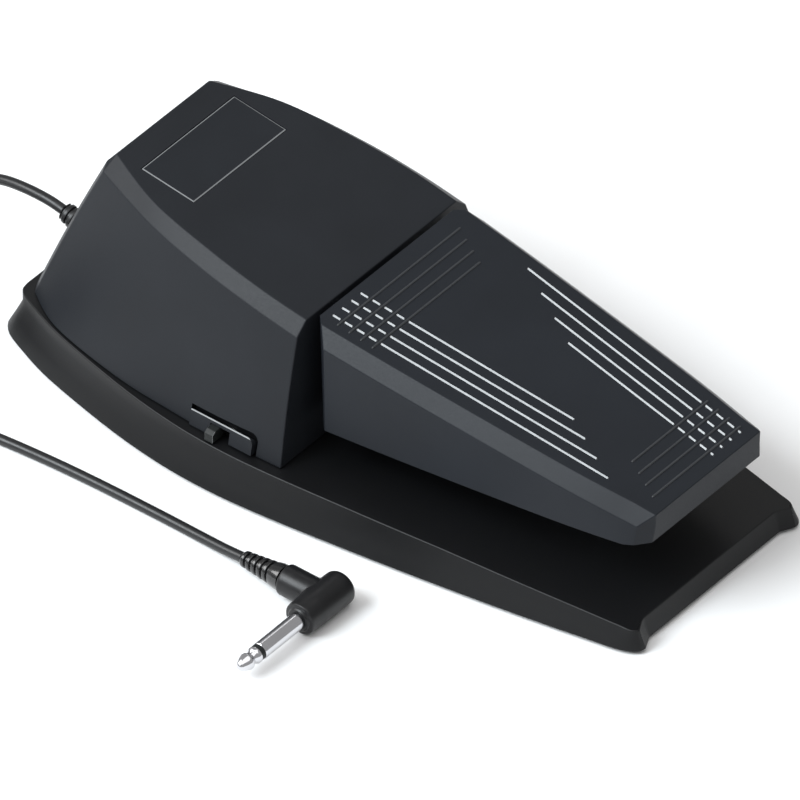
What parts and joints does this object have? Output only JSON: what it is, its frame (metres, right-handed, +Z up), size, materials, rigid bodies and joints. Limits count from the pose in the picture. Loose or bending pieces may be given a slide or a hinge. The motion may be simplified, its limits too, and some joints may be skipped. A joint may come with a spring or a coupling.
{
  "type": "sustain pedal",
  "caption": "Piano-style sustain pedal: long hinged treadle, raised rear housing, wide low base, polarity slide switch and a lead with an angled jack plug.",
  "frame": {"origin": "on the floor, in the middle of the base's length and width", "axes": "+Z up, +Y from the treadle's front towards the rear housing and the lead, +X to the player's right"},
  "size_m": [0.2088, 0.3562, 0.082],
  "materials": {
    "moulded_plastic": "fine satin grain",
    "treadle_plastic": "fine satin grain",
    "badge_plastic": "satin",
    "switch_plastic": "satin",
    "plug_plastic": "semi-gloss",
    "nylon": "satin",
    "board": "satin",
    "rubber": "matte",
    "cable_jacket": "satin",
    "zinc_steel": "zinc plated, satin",
    "bright_steel": "smooth",
    "chrome": "polished"
  },
  "bodies": {
    "chassis": {"base_shell": "moulded_plastic", "bottom_plate": "zinc_steel", "foot_front_left": "rubber", "foot_front_right": "rubber", "foot_rear_left": "rubber", "foot_rear_right": "rubber", "plate_screw_1": "zinc_steel", "plate_screw_2": "zinc_steel", "plate_screw_3": "zinc_steel", "plate_screw_4": "zinc_steel", "housing_cover": "moulded_plastic", "badge_plate": "badge_plastic", "housing_screw_1": "zinc_steel", "housing_screw_2": "zinc_steel", "housing_screw_3": "zinc_steel", "housing_screw_4": "zinc_steel", "strain_relief": "cable_jacket", "hinge_bracket": "zinc_steel", "spring_bridge": "zinc_steel", "bracket_screw_1": "zinc_steel", "bracket_screw_2": "zinc_steel", "bridge_screw_left": "zinc_steel", "bridge_screw_right": "zinc_steel", "hinge_pin": "bright_steel", "pin_clip": "bright_steel", "return_spring": "bright_steel", "rest_stop_pad": "rubber", "press_stop_pad": "rubber", "contact_switch": "switch_plastic", "circuit_board": "board", "inner_lead": "cable_jacket", "cable_clamp": "nylon", "clamp_screw": "zinc_steel", "polarity_switch_body": "nylon", "polarity_plate": "moulded_plastic", "plug_body": "plug_plastic", "plug_sleeve": "chrome", "plug_insulator": "switch_plastic", "plug_tip": "chrome", "plug_boot": "cable_jacket", "cable_lead": "cable_jacket", "cable_run": "cable_jacket", "cable_coil": "cable_jacket", "coil_tie": "cable_jacket"},
    "pedal": {"treadle_shell": "treadle_plastic", "treadle_lever": "zinc_steel", "lever_screw_1": "zinc_steel", "lever_screw_2": "zinc_steel", "hinge_bush_left": "nylon", "hinge_bush_right": "nylon"},
    "polarity_slider": {"polarity_slider": "switch_plastic"},
    "contact_lever": {"contact_lever": "bright_steel"}
  },
  "joints": [
    {"name": "pedal_hinge", "type": "hinge", "parent": "chassis", "child": "pedal", "pos_m": [0, 0.02115, 0.055], "axis": [1, 0, 0], "range_deg": [0, 8], "stiffness_Nm_per_rad": 9, "springref_deg": -6.88, "deforming": ["return_spring"]},
    {"name": "polarity_slide", "type": "slide", "parent": "chassis", "child": "polarity_slider", "axis": [0, -1, 0], "range_m": [0, 0.004]},
    {"name": "contact_leaf", "type": "hinge", "parent": "chassis", "child": "contact_lever", "pos_m": [0.0112, 0.03755, 0.0551], "axis": [1, 0, 0], "range_deg": [0, 13.7]}
  ],
  "couplings": [
    {"joint": "contact_leaf", "follows": "pedal_hinge", "ratio": 1.7}
  ]
}
